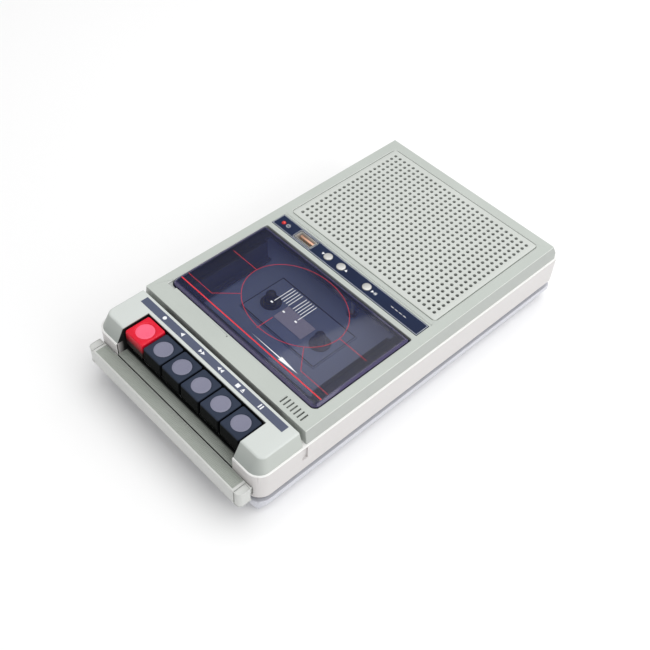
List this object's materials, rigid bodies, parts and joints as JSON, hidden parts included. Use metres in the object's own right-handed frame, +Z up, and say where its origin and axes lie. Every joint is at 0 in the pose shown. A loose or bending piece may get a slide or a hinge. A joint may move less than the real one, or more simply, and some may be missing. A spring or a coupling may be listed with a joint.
{
  "type": "cassette player",
  "caption": "slim desktop cassette player with piano keys, smoked cassette door, speaker grille, track buttons, USB socket and a pull-out carrying handle",
  "frame": {"origin": "bottom centre of the bounding box, on the table under the feet", "axes": "+X to the right of a user in front of the keys, +Y to the rear where the speaker is, +Z up"},
  "size_m": [0.142, 0.2572, 0.0465],
  "materials": {
    "case_grey": "fine texture",
    "case_silver": "satin",
    "handle_silver": "satin",
    "key_blue": "satin",
    "key_red": "satin",
    "navy": "gloss",
    "slate": "satin",
    "lamp_red": "gloss",
    "black_plastic": "satin",
    "smoked_lens": "gloss",
    "cloth": "woven",
    "paper": "paper fibre",
    "board": "satin",
    "steel": "satin",
    "bronze": "satin",
    "rubber_black": "matte"
  },
  "bodies": {
    "case": {"upper_shell": "case_grey", "key_housing": "case_grey", "bottom_shell": "case_silver", "speaker_grille": "case_silver", "control_strip": "navy", "key_label_strip": "slate", "power_led": "lamp_red", "cassette_well": "black_plastic", "speaker_baffle": "black_plastic", "mains_inlet": "black_plastic", "microphone_jack": "black_plastic", "earphone_jack": "black_plastic", "board_components": "black_plastic", "speaker_cloth": "cloth", "speaker_cone": "paper", "control_board": "board", "main_board": "board", "speaker_basket": "steel", "speaker_magnet": "steel", "usb_socket": "steel", "chassis_plate": "steel", "drive_motor": "steel", "key_shaft": "steel", "key_return_springs": "steel", "key_frame": "steel", "door_hinge_pins": "steel", "transformer": "steel", "control_pots": "steel", "microphone_capsule": "steel", "battery_contacts": "steel", "case_screws": "steel", "capstan_bearing": "bronze", "drive_belt": "rubber_black", "rubber_feet": "rubber_black"},
    "handle": {"handle_bar": "handle_silver", "handle_arms": "handle_silver"},
    "door": {"door_lens": "smoked_lens", "cassette_holder": "black_plastic"},
    "supply_reel": {"supply_spindle": "black_plastic"},
    "takeup_reel": {"takeup_spindle": "black_plastic"},
    "flywheel_turning": {"flywheel": "steel"},
    "motor_rotor": {"motor_pulley": "bronze"},
    "head_slider": {"head_plate": "steel", "record_play_head": "steel", "erase_head": "steel"},
    "pinch_lever": {"pinch_arm": "steel"},
    "pinch_wheel": {"pinch_roller": "rubber_black"},
    "track_down": {"track_down_button": "handle_silver"},
    "track_up": {"track_up_button": "handle_silver"},
    "play_pause": {"play_pause_button": "handle_silver"},
    "volume": {"volume_wheel": "black_plastic"},
    "tone": {"tone_wheel": "black_plastic"},
    "battery_cover": {"battery_door": "case_silver"},
    "record_lever": {"record_key": "key_red"},
    "play_lever": {"play_key": "key_blue"},
    "rewind_lever": {"rewind_key": "key_blue"},
    "fast_forward_lever": {"fast_forward_key": "key_blue"},
    "stop_lever": {"stop_key": "key_blue"},
    "pause_lever": {"pause_key": "key_blue"}
  },
  "joints": [
    {"name": "handle_slide", "type": "slide", "parent": "case", "child": "handle", "axis": [0, -1, 0], "range_m": [0, 0.036]},
    {"name": "record_key_press", "type": "hinge", "parent": "case", "child": "record_lever", "pos_m": [-0.04125, -0.08, 0.026], "axis": [1, 0, 0], "range_deg": [0, 8], "stiffness_Nm_per_rad": 0.4, "springref_deg": -8.59},
    {"name": "play_key_press", "type": "hinge", "parent": "case", "child": "play_lever", "pos_m": [-0.02475, -0.08, 0.026], "axis": [1, 0, 0], "range_deg": [0, 8], "stiffness_Nm_per_rad": 0.4, "springref_deg": -8.59},
    {"name": "rewind_key_press", "type": "hinge", "parent": "case", "child": "rewind_lever", "pos_m": [-0.00825, -0.08, 0.026], "axis": [1, 0, 0], "range_deg": [0, 8], "stiffness_Nm_per_rad": 0.4, "springref_deg": -8.59},
    {"name": "fast_forward_key_press", "type": "hinge", "parent": "case", "child": "fast_forward_lever", "pos_m": [0.00825, -0.08, 0.026], "axis": [1, 0, 0], "range_deg": [0, 8], "stiffness_Nm_per_rad": 0.4, "springref_deg": -8.59},
    {"name": "stop_key_press", "type": "hinge", "parent": "case", "child": "stop_lever", "pos_m": [0.02475, -0.08, 0.026], "axis": [1, 0, 0], "range_deg": [0, 8], "stiffness_Nm_per_rad": 0.4, "springref_deg": -8.59},
    {"name": "pause_key_press", "type": "hinge", "parent": "case", "child": "pause_lever", "pos_m": [0.04125, -0.08, 0.026], "axis": [1, 0, 0], "range_deg": [0, 8], "stiffness_Nm_per_rad": 0.4, "springref_deg": -8.59},
    {"name": "head_slide", "type": "slide", "parent": "case", "child": "head_slider", "axis": [0, -1, 0], "range_m": [0, 0.005]},
    {"name": "pinch_arm_turn", "type": "hinge", "parent": "case", "child": "pinch_lever", "pos_m": [0.031, 0.0092, 0.0308], "axis": [0, 0, 1], "range_deg": [0, 8.5]},
    {"name": "pinch_roller_spin", "type": "hinge", "parent": "pinch_lever", "child": "pinch_wheel", "pos_m": [0.0165, 0.0089, 0.0345], "axis": [0, 0, 1], "continuous": true},
    {"name": "supply_spin", "type": "hinge", "parent": "case", "child": "supply_reel", "pos_m": [-0.02125, -0.0295, 0.034], "axis": [0, 0, 1], "continuous": true},
    {"name": "takeup_spin", "type": "hinge", "parent": "case", "child": "takeup_reel", "pos_m": [0.02125, -0.0295, 0.034], "axis": [0, 0, 1], "continuous": true},
    {"name": "flywheel_spin", "type": "hinge", "parent": "case", "child": "flywheel_turning", "pos_m": [0.0165, 0.0012, 0.022], "axis": [0, 0, 1], "continuous": true},
    {"name": "motor_spin", "type": "hinge", "parent": "case", "child": "motor_rotor", "pos_m": [-0.038, 0.0012, 0.022], "axis": [0, 0, 1], "continuous": true},
    {"name": "door_open", "type": "hinge", "parent": "case", "child": "door", "pos_m": [0, -0.003, 0.0418], "axis": [-1, 0, 0], "range_deg": [0, 45]},
    {"name": "track_down_press", "type": "slide", "parent": "case", "child": "track_down", "axis": [0, 0, -1], "range_m": [0, 0.0006], "stiffness_N_per_m": 1500, "springref_m": -0.0006},
    {"name": "track_up_press", "type": "slide", "parent": "case", "child": "track_up", "axis": [0, 0, -1], "range_m": [0, 0.0006], "stiffness_N_per_m": 1500, "springref_m": -0.0006},
    {"name": "play_pause_press", "type": "slide", "parent": "case", "child": "play_pause", "axis": [0, 0, -1], "range_m": [0, 0.0006], "stiffness_N_per_m": 1500, "springref_m": -0.0006},
    {"name": "volume_turn", "type": "hinge", "parent": "case", "child": "volume", "pos_m": [-0.0616, 0.03, 0.0232], "axis": [0, 0, 1], "range_deg": [0, 270]},
    {"name": "tone_turn", "type": "hinge", "parent": "case", "child": "tone", "pos_m": [-0.0616, 0.052, 0.0232], "axis": [0, 0, 1], "range_deg": [0, 270]},
    {"name": "battery_door_slide", "type": "slide", "parent": "case", "child": "battery_cover", "axis": [0, 1, 0], "range_m": [0, 0.025]}
  ],
  "couplings": [
    {"joint": "head_slide", "follows": "play_key_press", "m_per_rad": 0.0358},
    {"joint": "pinch_arm_turn", "follows": "play_key_press", "ratio": 1.06},
    {"joint": "motor_spin", "follows": "flywheel_spin", "ratio": 5}
  ]
}
